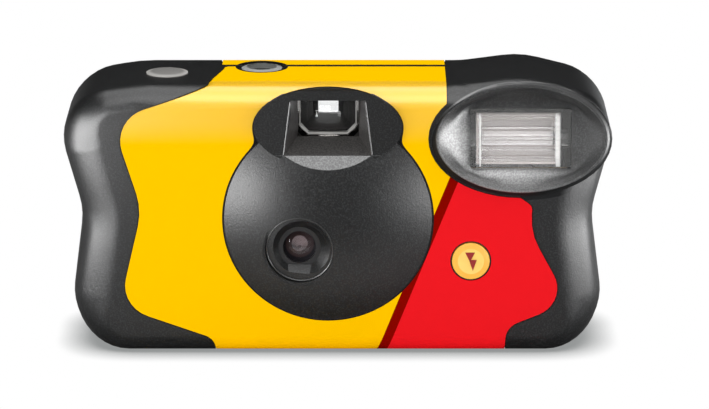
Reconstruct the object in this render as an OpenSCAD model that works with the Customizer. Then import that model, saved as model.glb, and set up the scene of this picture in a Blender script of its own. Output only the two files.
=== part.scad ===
// Disposable 35 mm film camera with flash: two snapped black covers round a chassis, cover labels,
// film wound from a supply roll into a cartridge by the thumbwheel, a one-blade shutter and a flash.
// X runs to the camera's right as seen from the front, Y to the back and Z up from the flat base.

/* [Body] */
// Width over the two grips
body_w = 120; // [114:1:128]
// Height of the flat top
body_h = 59.9; // [57.6:0.2:63]
// Depth between the front and rear faces
body_d = 32; // [32:0.5:36]
// Thickness of the moulded walls
wall = 1.4; // [1.1:0.1:1.6]
// Distance of the parting plane behind the front face
part_depth = 22.1; // [20:0.5:24]
// Rise of the flash hump over the flat top
hump_rise = 1.4; // [0.5:0.1:3]
// Depth of the finger waist in each side
waist_in = 3.8; // [3.5:0.1:5]
// Rounding along the top edges
top_r = 5; // [4:0.5:6]
// Rounding along the bottom edges
foot_edge_r = 4; // [3:0.5:5]
// Rounding down the grips
side_r = 9; // [7:0.5:10]

/* [Front] */
// Radius of the round bulge
dome_r = 22.7; // [21:0.2:24]
// How far the bulge stands out
dome_rise = 5; // [4:0.25:6]
// How far the viewfinder nose stands out
nose_rise = 2.1; // [1.6:0.1:2.6]
// Half width of the viewfinder nose
hood_w = 16.1; // [15:0.2:17.5]
// Diameter of the lens port at its rim
port_d = 14.1; // [13:0.1:15]
// Half width of the flash bezel
bezel_w = 19.8; // [18:0.2:20.4]
// Half height of the flash bezel
bezel_h = 12.5; // [11:0.25:13]
// Backward lean of the flash bezel
bezel_tilt = 12; // [8:1:14]
// Thickness of the label sheets
label_t = 0.3; // [0.2:0.05:0.5]

/* [Controls] */
// Diameter of the shutter button
shutter_d = 9.2; // [8:0.2:10]
// Travel of the shutter button
shutter_travel = 1.3; // [0.8:0.1:1.5]
// Diameter of the flash button
flash_button_d = 8.2; // [7:0.2:9]
// Travel of the flash button
flash_travel = 0.6; // [0.4:0.1:0.8]
// Diameter of the counter window
counter_window_d = 9; // [7:0.25:10]
// How far the thumbwheel stands out of the back
wheel_out = 1.2; // [0.8:0.1:1.6]
// Notches round the thumbwheel
wheel_teeth = 40; // [30:2:50]

/* [Film] */
// Diameter of the film cartridge
can_d = 25; // [24:0.1:25.4]
// Height of the cartridge between its end caps
can_h = 42.6; // [41:0.2:43]
// Height of the film
film_h = 35; // [34:0.1:35.4]
// Thickness of the film as drawn
film_t = 0.15; // [0.12:0.01:0.2]
// Width of the picture gate
gate_w = 36; // [34:0.5:37]
// Height of the picture gate
gate_h = 24; // [22:0.5:25]
// Radius of the unexposed roll
roll_r = 9.5; // [8.5:0.25:9.75]
// Diameter of the taking lens
lens_d = 8; // [7:0.1:8.4]

/* [Flash] */
// Diameter of the cell
cell_d = 14.5; // [13.5:0.1:14.5]
// Length of the cell without its tip
cell_l = 49; // [48:0.1:49.2]
// Diameter of the flash capacitor
cap_d = 9.5; // [8:0.25:10]
// Diameter of the flash tube
tube_d = 3.2; // [2.5:0.1:3.6]

/* [Fits] */
// Radial clearance of a turning pin
run_fit = 0.06; // [0.03:0.01:0.1]
// Gap round a button or window in its hole
hole_gap = 0.15; // [0.1:0.05:0.3]
// Gap round the film door
door_gap = 0.25; // [0.2:0.05:0.4]
// Gap round the labels in their pockets
label_gap = 0.25; // [0.15:0.05:0.4]

/* [Hidden] */
$fn = 48;

// Faces of the covers
total_d = dome_rise + body_d + wheel_out;
front_y = dome_rise - total_d / 2;
rear_y = front_y + body_d;
front_in = front_y + wall;
rear_in = rear_y - wall;
part_y = front_y + part_depth;
top_in = body_h - wall;
half_w = body_w / 2;

// Outline of the body as circles [x, z, radius, turn]; turn is 1 for a bulge and -1 for a waist
foot_r = 0.204 * body_h;
grip_r = 0.2 * body_h;
shoulder_r = 0.668 * body_h;
brow_r = 0.2 * body_h;
hump_r = 0.367 * body_h;
waist_r = 0.272 * body_h;
dip_r = 25;
waist_z = 0.492 * body_h;
hump_z = body_h + hump_rise - hump_r;
hump_x = half_w - 0.3422 * body_h;
dip_x = hump_x - sqrt(pow(dip_r + hump_r + 0.6, 2) - pow(body_h + dip_r - hump_z, 2));
foot_x = half_w - 1.8 - foot_r;
BODY = [
    [-foot_x, foot_r, foot_r, 1],
    [foot_x, foot_r, foot_r, 1],
    [half_w - waist_in + waist_r, waist_z, waist_r, -1],
    [half_w - brow_r, 0.793 * body_h, brow_r, 1],
    [hump_x, hump_z, hump_r, 1],
    [dip_x, body_h + dip_r, dip_r, -1],
    [-half_w + 0.3255 * body_h, body_h - shoulder_r, shoulder_r, 1],
    [-half_w + grip_r, 0.785 * body_h, grip_r, 1],
    [-half_w + waist_in - waist_r, waist_z, waist_r, -1]
];

// Places on the front
dome_x = -1.96;
dome_z = 0.511 * body_h;
dome_sphere = (dome_r * dome_r + dome_rise * dome_rise) / (2 * dome_rise);
dome_cy = front_y - dome_rise + dome_sphere;
hood_z = body_h - 8.8;
hood_h = 8.7;
hood_tilt = 15;
nose_y = front_y - nose_rise;
lip_z = hood_z - 5.7;
finder_y = front_in + 2.2;
lens_x = -8.2;
lens_z = wall + 0.1312 * (body_h - 2 * wall - can_h) + can_h / 2;
port_r = port_d / 2;
port_ledge = 0.35;
port_y = dome_cy - sqrt(pow(dome_sphere, 2) - pow(lens_x - dome_x, 2) - pow(lens_z - dome_z, 2));
flash_x = half_w - bezel_w - 0.05;
flash_z = body_h - 11;
flash_y = front_y - 1.2;
flash_button_x = 29.3;
dish_r = 1.4 * flash_button_d;
flash_button_z = 0.352 * body_h;

// Outline of the front label as circles, in the same form
LABEL = [
    [-25.2, -6, 0.5, 1],
    [36.1, -6, 0.5, 1],
    [half_w - 18.8, 0.051 * body_h, 4.2, -1],
    [half_w - 18.1, 0.247 * body_h, 6.4, 1],
    [half_w - 3.5, 0.512 * body_h, 14, -1],
    [half_w - 19.1, 0.545 * body_h, 1.7, 1],
    [27.3, flash_z, 3.5, -1],
    [23.3, body_h + 14, 0.5, 1],
    [-24.3, body_h + 14, 0.5, 1],
    [-28.2, body_h + 3.2, 3.4, -1],
    [-half_w + 20.4, body_h - 11.9, 7.5, 1],
    [-half_w + 2.6, 0.537 * body_h, 0.238 * body_h, -1],
    [-half_w + 20.8, 0.257 * body_h, 7.3, 1],
    [-30, 1, 3.2, -1]
];

// Corner taken off that label on the top, where its side edge sweeps round to the parting line
corner_r = 2.6;
corner_x = -22.4;
label_corner = concat([[corner_x, part_y + 1]],
    [for (a = [90:10:190]) [corner_x + corner_r * cos(a), part_y - 0.3 + corner_r * (sin(a) - 1)]],
    [[corner_x - 2 * corner_r, part_y - 15], [-half_w, part_y - 15], [-half_w, part_y + 1]]);

// Film path
can_r = can_d / 2;
can_x = 21.8 - half_w;
can_y = rear_in - 0.5 - can_r;
can_top = lens_z + can_h / 2;
can_foot = lens_z - can_h / 2;
head = top_in - can_top;
film_y = can_y + 9.5;
roll_x = half_w - 21;
roll_y = film_y - roll_r;
film_top = lens_z + film_h / 2;
film_foot = lens_z - film_h / 2;
deck_z = film_top + 0.5;
deck_t = 1.2;
deck_top = deck_z + deck_t;
plate_y = film_y - film_t / 2;

// Advance train
wheel_r = rear_y + wheel_out - can_y;
wheel_z = can_top + 0.115 * head;
wheel_t = 0.3 * head;
spool_top = can_top + 0.31 * head;
hub_r = 5;
spool_r = 3;
sprocket_teeth = 8;
pitch = 4.75;
sprocket_r = sprocket_teeth * pitch / (2 * PI);
sprocket_x = -12.5;
sprocket_y = film_y - sprocket_r;
sprocket_z = film_top - 2.5;
shaft_r = 1.2;
counter_x = -19.5;
counter_y = sprocket_y - 5.15;
counter_r = norm([sprocket_x - counter_x, sprocket_y - counter_y]) - 1.85;
counter_teeth = 36;
counter_t = 0.08 * head;
counter_z = top_in - 0.55 - counter_t;
counter_post_r = 1.3;
count_x = -16.7;
count_y = part_y - 1.2;

// Release, striker and blade
button_x = can_x + 0.8;
button_y = front_y + 15.1;
lever_t = 0.1 * head;
lever_z = wheel_z + wheel_t + shutter_travel + 0.25;
hub_top = 0.105 * head;
lever_x = can_x + wheel_r + 2.4;
lever_y = front_y + 10.9;
lever_w = 2.4;
pin_r = 0.05 * head;
striker_x = -11.5;
striker_y = front_y + 12.6;
striker_z = deck_top + 0.3;
striker_t = 1.4;
shutter_y = front_y + 6.9;
blade_t = 0.3;
blade_y = shutter_y - 0.5 - blade_t;
blade_x = -14.6;
blade_z = lens_z + 7.4;

// Lens and viewfinder
lens_r = lens_d / 2;
holder_y = blade_y - 0.7;
barrel_r = lens_r + 1.9;
stop_y = front_y + 2.4;
barrel_y = front_y - 0.4;
ring_t = 0.8;
tube_w = 13.4;
tube_h = 0.73 * head;
tube_wall = 0.8;
finder_r = 12;
tube_z = top_in - 0.4 - tube_wall - tube_h / 2;
eye_w = 9;
eye_h = 5.4;
eye_z = body_h - 8.5;
eye_y = rear_in - 2.4;

// Flash parts
window_w = 10.9;
window_h = 6.4;
window_y = 3;
window_t = 2;
flange_y = 5.2;
trough_y = flange_y + 0.6;
trough_d = 6.4;
trough_h = 5.6;
trough_w = 9.2;
trough_x = -0.6;
tube_y = trough_y + trough_d - 2.6;
board_x = 9.5;
board_y = front_y + 4.2;
board_t = 1.2;
board_back = board_y + board_t;
cell_r = cell_d / 2;
cell_x = can_x + can_r + 1.7;
cell_y = front_in + 0.9 + cell_r;
cell_z = wall + 0.4 + cell_r;
cap_x = 21.5;
cap_y = board_back + 1.3 + cap_d / 2;

// Film door and its hinge
door_w = can_r + 0.1;
door_y = can_y - can_r + 0.6;
hinge_y = door_y + wall / 2;
hinge_z = wall / 2;
hinge_pin_r = 0.45;
hinge_x0 = -foot_x - door_gap - 0.8;
hinge_x1 = can_x + door_w + door_gap + 0.8;

// Ready light on the back
lamp_x = 11;
lamp_z = tube_z - 1;
lamp_r = 1.6;

// Colours
black = "#1d1d1f";
grey = "#b4b2ac";
metal = "#c9c9c6";
brass = "#c8a24a";
clear = "#dfe8ea";
yellow = "#ffc700";

// Heading of the straight run that leaves circle a and joins circle b
function heading(a, b) =
    let (d = [b[0] - a[0], b[1] - a[1]])
    atan2(d[1], d[0]) - asin((b[3] * b[2] - a[3] * a[2]) / norm(d));

// Points [x, z, normal x, normal z] of the belt round the circles, one point per step degrees
function belt(c, step) =
    let (m = len(c))
    [for (i = [0:m - 1])
        let (h0 = heading(c[(i + m - 1) % m], c[i]), h1 = heading(c[i], c[(i + 1) % m]),
            s = c[i][3], turn = s * (((s * (h1 - h0)) % 360 + 360) % 360),
            n = max(2, ceil(abs(turn) / step)))
        for (k = [0:n])
            let (h = h0 + turn * k / n)
            [c[i][0] + s * c[i][2] * sin(h), c[i][1] - s * c[i][2] * cos(h), sin(h), -cos(h)]];

outline = belt(BODY, 9);
label_outline = [for (p = belt(LABEL, 12)) [p[0], p[1]]];

// Edge rounding at an outline point, from its normal
function edge(p, low, side) = (p[3] > 0 ? top_r : low) + (side - (p[3] > 0 ? top_r : low)) * p[2] * p[2];

// Rings of one cover from its face to y1, taken in by t; way is 1 for the front and -1 for the back
function cover_rings(face, way, y1, t, low, side, n) = concat(
    [for (k = [0:n])
        let (f = 90 * k / n)
        [for (p = outline)
            let (r = max(edge(p, low, side) - t, 0.3), s = t + r * (1 - sin(f)))
            [p[0] - p[2] * s, face + way * (t + r * (1 - cos(f))), p[1] - p[3] * s]]],
    [[for (p = outline) [p[0] - p[2] * t, y1, p[1] - p[3] * t]]]);

function middle(r) = [for (k = [0:2]) (min([for (p = r) p[k]]) + max([for (p = r) p[k]])) / 2];

// Solid skinned over rings that run from the front to the back, each end closed from its middle
module loft(rings) {
    n = len(rings[0]);
    m = len(rings);
    skin = [for (k = [0:m - 2]) for (i = [0:n - 1])
        let (a = k * n + i, b = k * n + (i + 1) % n)
        each [[a, b, b + n], [a, b + n, a + n]]];
    caps = [for (i = [0:n - 1])
        let (j = (i + 1) % n)
        each [[m * n, j, i], [m * n + 1, (m - 1) * n + i, (m - 1) * n + j]]];
    ends = [middle(rings[0]), middle(rings[m - 1])];
    polyhedron(concat([for (r = rings) each r], ends), concat(skin, caps));
}

// Closed ring skinned over rings whose last joins the first
module loop_loft(rings) {
    n = len(rings[0]);
    m = len(rings);
    polyhedron([for (r = rings) each r], [for (k = [0:m - 1]) for (i = [0:n - 1])
        let (a = k * n + i, b = k * n + (i + 1) % n, c = ((k + 1) % m) * n)
        each [[a, b, c + (i + 1) % n], [a, c + (i + 1) % n, c + i]]]);
}

// Box from its least to its greatest corner
module block(lo, hi) {
    translate(lo) cube(hi - lo);
}

// Round bar along Y from y0 to y1
module bar_y(x, z, y0, y1, r) {
    translate([x, y0, z]) rotate([-90, 0, 0]) cylinder(h = y1 - y0, r = r);
}

// Round bar along X from x0 to x1
module bar_x(y, z, x0, x1, r) {
    translate([x0, y, z]) rotate([0, 90, 0]) cylinder(h = x1 - x0, r = r);
}

// Upright post from z0 to z1
module post(x, y, z0, z1, r) {
    translate([x, y, z0]) cylinder(h = z1 - z0, r = r);
}

// Four-sided funnel between two frames [y, x, half width low, half width high, z low, z high]
module funnel(a, b) {
    polyhedron([for (f = [a, b]) each [
        [f[1] - f[2], f[0], f[4]], [f[1] + f[2], f[0], f[4]],
        [f[1] + f[3], f[0], f[5]], [f[1] - f[3], f[0], f[5]]]],
        [[0, 3, 2], [0, 2, 1], [4, 5, 6], [4, 6, 7], [0, 1, 5], [0, 5, 4], [1, 2, 6], [1, 6, 5],
        [2, 3, 7], [2, 7, 6], [3, 0, 4], [3, 4, 7]]);
}

// The same funnel run on by a share of its length past its front frame
function run_on(a, b, k) = a + (a - b) * k;

module front_solid(t, past) {
    loft(cover_rings(front_y, 1, part_y + past, t, foot_edge_r, side_r, 5));
}

module rear_solid(t, past) {
    r = cover_rings(rear_y, -1, part_y - past, t, foot_edge_r - 1.5, side_r - 1, 5);
    loft([for (k = [len(r) - 1:-1:0]) r[k]]);
}

// Section of the labelled body between the front and back rounding, taken in by t
module section(t) {
    f = front_y;
    b = rear_y;
    rear_foot = foot_edge_r - 1.5;
    translate([f + top_r, t]) square([b - f - 2 * top_r, body_h - 2 * t]);
    translate([f + t, top_r]) square([b - f - 2 * t, body_h - 2 * top_r]);
    translate([f + foot_edge_r, t]) square([b - f - foot_edge_r - rear_foot, top_r]);
    translate([f + t, foot_edge_r]) square([top_r, top_r]);
    translate([b - top_r - t, rear_foot]) square([top_r, top_r]);
    translate([f + top_r, body_h - top_r]) circle(top_r - t);
    translate([b - top_r, body_h - top_r]) circle(top_r - t);
    translate([f + foot_edge_r, foot_edge_r]) circle(foot_edge_r - t);
    translate([b - rear_foot, rear_foot]) circle(rear_foot - t);
}

// Skin of the section between two depths below the face
module skin(t0, t1) {
    translate([-half_w, 0, 0]) rotate([90, 0, 90]) linear_extrude(body_w) difference() {
        section(t0);
        section(t1);
    }
}

// Front label outline run along Y, grown by g and kept y_end short of the parting plane
module label_area(g, y_end) {
    difference() {
        intersection() {
            translate([0, part_y - y_end, 0]) rotate([90, 0, 0]) linear_extrude(body_d + 10)
                offset(delta = g) polygon(label_outline);
            union() {
                block([-half_w, front_y - 5, 2], [half_w, part_y, body_h + 5]);
                block([-half_w, front_y - 5, -5], [half_w, front_y + foot_edge_r + 1 + g, 3]);
            }
        }
        translate([0, 0, top_in - 2]) linear_extrude(wall + 8) offset(delta = -g) polygon(label_corner);
    }
}

// Rounded panel on the back, run along Y
module rear_area(g, y_end) {
    intersection() {
        translate([0, rear_y + 5, 0]) rotate([90, 0, 0]) linear_extrude(rear_y + 5 - part_y - y_end)
            offset(delta = g) union() {
                translate([-25.5, 14]) square([49.3, body_h]);
                offset(r = 6) offset(delta = -6) translate([-45.5, 9]) square([91, 34]);
            }
        block([-half_w, part_y, 2], [half_w, rear_y + 5, body_h + 5]);
    }
}

module hood_prism(g, y0, y1) {
    translate([dome_x, front_y, hood_z]) rotate([-hood_tilt, 0, 0]) translate([0, y1, 0]) rotate([90, 0, 0])
        linear_extrude(y1 - y0)
            polygon([for (a = [0:7.5:352.5]) [(hood_w + g) * cos(a), (hood_h + g) * sin(a)]]);
}

module in_bezel() {
    translate([flash_x, flash_y, flash_z]) rotate([-bezel_tilt, 0, 0]) children();
}

module bezel_prism(g, y0, y1) {
    in_bezel() translate([0, y1, 0]) rotate([90, 0, 0]) linear_extrude(y1 - y0)
        polygon([for (a = [0:7.5:352.5]) [(bezel_w + g) * cos(a), (bezel_h + g) * sin(a)]]);
}

// Ring of the bezel: half sizes, depth, squareness (2 is an ellipse) and extra depth towards the corner
function bezel_ring(a, b, y, p, deep) = [for (k = [0:47])
    let (t = k * 360 / 48, c = cos(t), s = sin(t))
    [a * sign(c) * pow(abs(c), 2 / p), y + deep * max(0, cos(t - 35)), b * sign(s) * pow(abs(s), 2 / p)]];

// Ring of the bowl between the window, at share 0, and the rim, at share 1
function dish_ring(t) =
    let (a = window_w + 0.9, b = window_h + 0.8, rise = 2.8 * pow(t, 1.5))
    bezel_ring(a + (bezel_w - 2.3 - a) * t, b + (bezel_h - 1.8 - b) * t,
        3.7 - rise, 2 + 5 * pow(1 - t, 2), 0);

module bezel() {
    in_bezel() loop_loft([
        bezel_ring(bezel_w - 1.2, bezel_h - 0.9, 0, 2, 0),
        bezel_ring(bezel_w - 0.2, bezel_h - 0.15, 1.4, 2, 0),
        bezel_ring(bezel_w, bezel_h, 2.6, 2, 0),
        bezel_ring(bezel_w, bezel_h, 3.6, 2, 4.2),
        bezel_ring(bezel_w - 1.3, bezel_h - 1.3, 3.6, 2, 4.2),
        bezel_ring(bezel_w - 3.6, bezel_h - 2.7, 3.7, 2.2, 0),
        bezel_ring(window_w + 1.6, window_h + 1.4, flange_y, 5, 0),
        bezel_ring(window_w + hole_gap, window_h + hole_gap, flange_y, 60, 0),
        bezel_ring(window_w + hole_gap, window_h + hole_gap, 3.9, 60, 0),
        each [for (t = [0:0.2:1]) dish_ring(t)],
        bezel_ring(bezel_w - 1.7, bezel_h - 1.3, 0, 2, 0)]);
}

module dome() {
    translate([dome_x, 0, dome_z]) rotate([-90, 0, 0]) rotate_extrude() difference() {
        intersection() {
            translate([0, dome_cy]) circle(dome_sphere);
            translate([0, front_y - dome_rise - 1]) square([dome_r, dome_rise + 1 + wall]);
        }
        translate([0, dome_cy]) circle(dome_sphere - wall);
    }
}

// Round solid bounded by the face of the bulge taken in by t
module dome_ball(t) {
    translate([dome_x, 0, dome_z]) rotate([-90, 0, 0]) rotate_extrude() intersection() {
        translate([0, dome_cy]) circle(dome_sphere - t);
        translate([0, front_y - dome_rise - 1]) square([dome_r, dome_rise + 6]);
    }
}

// Port of the taking lens: narrow ledge that follows the bulge, then a flat-floored cone
module port_solid() {
    translate([lens_x, port_y + 1, lens_z]) rotate([-90, 0, 0])
        cylinder(h = barrel_y - ring_t - 0.2 - port_y - 1, r1 = port_r + 1, r2 = barrel_r - 0.2);
}

module port_cut() {
    y1 = barrel_y - ring_t;
    depth = y1 - port_y;
    difference() {
        bar_y(lens_x, lens_z, port_y - 3, port_y + 3, port_r + 0.45);
        dome_ball(port_ledge);
    }
    intersection() {
        translate([lens_x, port_y - 1, lens_z]) rotate([-90, 0, 0])
            cylinder(h = depth + 1, r1 = port_r + 0.4, r2 = lens_r + 0.5);
        funnel([port_y - 1.2, lens_x, 12, 12, lens_z - port_r - 0.6, lens_z + 12],
            [y1 + 0.2, lens_x, 12, 12, lens_z - lens_r + 0.5, lens_z + 12]);
    }
}

// Viewfinder recess, open at the nose and narrow at the finder lens
module finder_recess() {
    front = [nose_y, dome_x, 9.6, 8.1, lip_z, body_h - 2.2];
    back = [finder_y + 0.1, dome_x, tube_w / 2, tube_w / 2, tube_z - tube_h / 2 + 0.3, top_in - 0.3];
    funnel(run_on(front, back, 0.6), run_on(back, front, 0.2));
}

// Slanted cut in the bulge below the recess
module crescent_cut() {
    translate([dome_x - 15, 0, 0]) rotate([90, 0, 90]) linear_extrude(30)
        polygon([[nose_y, lip_z], [nose_y - 4, lip_z - 7.2],
            [nose_y - 4, body_h + 3], [nose_y, body_h + 3]]);
}

// Room of the film door under the cartridge, with a step beside its hinge, grown by g
module door_box(g) {
    block([-foot_x - g, door_y - g, -1], [can_x + door_w + g, rear_in - 1.2 + g, 7.5 + g]);
    block([can_x - door_w - g, door_y + wall + 0.3 - g, -1], [can_x, rear_in - 1.2 + g, 7.5 + g]);
}

module front_shell() {
    difference() {
        front_solid(0, 0);
        front_solid(wall, 1);
    }
}

module rear_shell() {
    difference() {
        rear_solid(0, 0);
        rear_solid(wall, 1);
    }
}

module front_cover() {
    color(black) difference() {
        union() {
            difference() {
                front_shell();
                bar_y(dome_x, dome_z, front_y - 1, front_in + 1, dome_r - 1);
                bezel_prism(-0.9, -6, 14);
                difference() {
                    intersection() {
                        skin(-1, label_t + 0.02);
                        label_area(label_gap, 0.9 - label_gap);
                    }
                    hood_prism(0.1, -8, 14);
                }
                door_box(door_gap);
            }
            dome();
            intersection() {
                hood_prism(0, -8, 14);
                block([dome_x - 20, nose_y, hood_z - 14], [dome_x + 20, finder_y, body_h - 0.1]);
            }
            bezel();
            port_solid();
            for (x = [-16, 18])
                block([x - 0.7, front_y + foot_edge_r + 0.2, wall - 0.3], [x + 0.7, cell_y + 4, cell_z - 3]);
            bar_y(half_w - 12, lens_z - 0.6, front_in - 0.3, board_y, 1.8);
            bar_y(26.5, dome_z, front_in - 0.3, board_y, 1.8);
        }
        finder_recess();
        crescent_cut();
        port_cut();
        bar_x(cell_y, cell_z, cell_x, cell_x + cell_l + 4, cell_r);
        post(button_x, button_y, top_in - 1, body_h + 2, shutter_d / 2 + hole_gap);
        post(count_x, count_y, top_in - 1, body_h + 2, counter_window_d / 2 + hole_gap);
        bar_y(flash_button_x, flash_button_z, front_y - 1, front_in + 1, flash_button_d / 2 + hole_gap);
        bar_x(hinge_y, hinge_z, hinge_x0 - 0.2, hinge_x1 + 0.2, hinge_pin_r + run_fit);
    }
}

// Slot in the back for the thumbwheel, grown by g
module wheel_slot(g) {
    w = sqrt(pow(wheel_r, 2) - pow(rear_in - can_y, 2)) + 0.8 + g;
    block([can_x - w, rear_in - 2, wheel_z - 0.5 - g], [can_x + w, rear_y + 1, wheel_z + wheel_t + 0.5 + g]);
}

module eye_hole(g) {
    block([dome_x - eye_w / 2 - g, rear_in - 2, eye_z - eye_h / 2 - g],
        [dome_x + eye_w / 2 + g, rear_y + 1, eye_z + eye_h / 2 + g]);
}

module rear_cover() {
    color(black) difference() {
        union() {
            difference() {
                rear_shell();
                intersection() {
                    skin(-1, label_t + 0.02);
                    rear_area(label_gap, 0.9 - label_gap);
                }
                door_box(door_gap);
            }
            for (t = [[-15, 4], [31, 4]]) {
                block([t[0] - t[1], part_y - 3, wall + 0.1], [t[0] + t[1], part_y + 2, wall + 1.2]);
                block([t[0] - t[1], part_y, wall - 0.3], [t[0] + t[1], part_y + 2, wall + 1.2]);
            }
            for (t = [[-29, 1.4], [16, 4]]) {
                block([t[0] - t[1], part_y - 3, top_in - 1.2], [t[0] + t[1], part_y + 2, top_in - 0.1]);
                block([t[0] - t[1], part_y, top_in - 1.2], [t[0] + t[1], part_y + 2, top_in + 0.3]);
            }
            for (z = [film_foot + 2, film_top - 2])
                block([lens_x - gate_w / 2, film_y + film_t / 2 + 0.1, z - 0.7],
                    [lens_x + gate_w / 2, rear_in + 0.3, z + 0.7]);
        }
        wheel_slot(0);
        eye_hole(hole_gap);
        bar_y(lamp_x, lamp_z, rear_in - 1, rear_y + 1, lamp_r + hole_gap);
        post(count_x, count_y, top_in - 2, body_h + 2, counter_window_d / 2 + hole_gap);
    }
}

module film_door() {
    color(black) union() {
        difference() {
            intersection() {
                front_shell();
                door_box(0);
            }
            block([-foot_x - 1, door_y - 1, -1], [can_x + door_w + 1, hinge_y, wall + 1]);
        }
        intersection() {
            rear_shell();
            door_box(0);
        }
        bar_x(hinge_y, hinge_z, -foot_x, can_x + door_w, wall / 2);
        bar_x(hinge_y, hinge_z, hinge_x0, hinge_x1, hinge_pin_r);
        post(can_x, can_y, wall - 0.3, can_foot, 4);
    }
}

module front_label() {
    color(yellow) difference() {
        intersection() {
            skin(0, label_t);
            label_area(0, 0.9);
        }
        bar_y(dome_x, dome_z, front_y - 2, front_y + 2, dome_r + 0.35);
        hood_prism(0.35, -8, 14);
        bezel_prism(0.5, -6, 14);
        bar_y(flash_button_x, flash_button_z, front_y - 2, front_y + 2, flash_button_d / 2 + 0.4);
        post(count_x, count_y, top_in, body_h + 2, counter_window_d / 2 + 0.7);
    }
}

module rear_label() {
    color(yellow) difference() {
        intersection() {
            skin(0, label_t);
            rear_area(0, 0.9);
        }
        wheel_slot(1.2);
        eye_hole(1.6);
        bar_y(lamp_x, lamp_z, rear_in - 1, rear_y + 1, lamp_r + 1);
        post(count_x, count_y, top_in, body_h + 2, counter_window_d / 2 + 0.7);
    }
}

// Chassis: shutter plate, light tunnel, film plate, deck, two film chambers and the lever posts
module main_frame() {
    top = can_top + 0.017 * head;
    cap_top = can_top + 0.09 * head;
    lug_z = lever_z + lever_t / 2;
    color("#2a2a2e") difference() {
        union() {
            funnel([shutter_y + 0.6, lens_x, 6, 6, lens_z - 5, lens_z + 5],
                [plate_y - 0.4, lens_x, gate_w / 2 + 1.2, gate_w / 2 + 1.2,
                lens_z - gate_h / 2 - 1.2, lens_z + gate_h / 2 + 1.2]);
            block([can_x + 12.5, shutter_y, cell_z + cell_r + 0.7], [9, shutter_y + 1.2, deck_top]);
            block([can_x + 6, shutter_y, deck_z], [roll_x - 5, plate_y, deck_top]);
            block([can_x + 13, plate_y - 1.2, film_foot - 1.2], [roll_x - 11, plate_y, deck_top]);
            for (x = [-21, 13]) block([x, plate_y - 1.2, wall], [x + 8, plate_y, film_foot]);
            post(can_x, can_y, can_foot + 3.4, cap_top, can_r + 1.3);
            post(roll_x, roll_y, film_foot - 1.6, deck_top - 0.3, roll_r + 1.5);
            post(counter_x, counter_y, deck_z, counter_z + counter_t, counter_post_r);
            post(striker_x, striker_y, deck_z, striker_z + striker_t + 1.3, 1.3);
            for (y = [lever_y - lever_w / 2 - 3.3, lever_y + lever_w / 2 + 0.3])
                block([lever_x - 1.5, y, deck_z], [lever_x + 1.5, y + 1.1, lug_z + hub_top]);
            bar_y(lever_x, lug_z, lever_y - lever_w / 2 - 3, lever_y + lever_w / 2 + 1, pin_r);
            for (p = [[6, 10], [6, 23], [-6, 23.5], [-4, 8.2]])
                block([dome_x + p[0] - 1, front_y + p[1] - 1, deck_z],
                    [dome_x + p[0] + 1, front_y + p[1] + 1, tube_z - tube_h / 2 - tube_wall]);
            block([sprocket_x - 2.2, sprocket_y - 2.2, sprocket_z - 3.6],
                [sprocket_x + 2.2, plate_y - 0.8, sprocket_z - 2]);
            bar_y(blade_x, blade_z, holder_y + 0.1, shutter_y + 0.3, 1);
            bar_y(lens_x + 3, blade_z + 3, blade_y - 1.2, shutter_y + 0.3, 0.7);
        }
        funnel([shutter_y - 0.3, lens_x, 4, 4, lens_z - 3.2, lens_z + 3.2],
            [plate_y + 0.1, lens_x, gate_w / 2, gate_w / 2, lens_z - gate_h / 2, lens_z + gate_h / 2]);
        post(can_x, can_y, -1, top, can_r + 0.3);
        post(can_x, can_y, top - 1, top + 2, hub_r + run_fit);
        block([can_x - 20, can_y + 6, -1], [can_x + 13, can_y + 20, top]);
        block([can_x - 20, can_y + 9.3, top - 1], [can_x + 13, can_y + 20, top + 2]);
        post(roll_x, roll_y, film_foot - 0.6, film_top + 0.3, roll_r + 0.5);
        post(roll_x, roll_y, film_foot - 3, deck_top + 1, 2 + run_fit);
        block([roll_x - 11, roll_y + 5, film_foot - 0.6], [roll_x + 13, roll_y + 20, film_top + 0.3]);
        block([roll_x - 13, front_y, deck_z - 0.2], [roll_x + 13, front_y + 9.1, deck_top + 1]);
        block([sprocket_x - 5, plate_y - 2, sprocket_z - 1.6],
            [sprocket_x + 5, plate_y + 1, sprocket_z + 1.6]);
        post(sprocket_x, sprocket_y, sprocket_z - 3.2, deck_top + 1, shaft_r + run_fit);
    }
}

module lens_holder() {
    color(black) difference() {
        union() {
            block([lens_x - 9.4, holder_y - 1.2, lens_z - 8], [lens_x + 9.4, holder_y, lens_z + 8.6]);
            bar_y(lens_x, lens_z, barrel_y, holder_y - 0.6, barrel_r);
            for (p = [[-8.4, -6], [8.4, -6], [8.4, 7.4]])
                bar_y(lens_x + p[0], lens_z + p[1], holder_y - 0.6, shutter_y, 0.9);
        }
        bar_y(lens_x, lens_z, barrel_y - 1, stop_y, lens_r + 0.05);
        bar_y(lens_x, lens_z, stop_y - 1, holder_y + 1, 1.6);
    }
}

module taking_lens() {
    color(clear) translate([lens_x, 0, lens_z]) rotate([-90, 0, 0]) rotate_extrude() intersection() {
        translate([0, stop_y + 5.7]) circle(8);
        translate([0, stop_y - 3]) square([lens_r, 3]);
    }
}

module lens_ring() {
    color(black) difference() {
        bar_y(lens_x, lens_z, barrel_y - ring_t, barrel_y, barrel_r - 0.3);
        bar_y(lens_x, lens_z, barrel_y - 3, barrel_y + 1, lens_r - 0.4);
    }
}

module viewfinder_tube() {
    w = tube_w / 2;
    h = tube_h / 2;
    color(black) difference() {
        block([dome_x - w - tube_wall, finder_y + 0.2, tube_z - h - tube_wall],
            [dome_x + w + tube_wall, eye_y, tube_z + h + tube_wall]);
        block([dome_x - w, finder_y - 1, tube_z - h], [dome_x + w, rear_in, tube_z + h]);
    }
}

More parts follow.
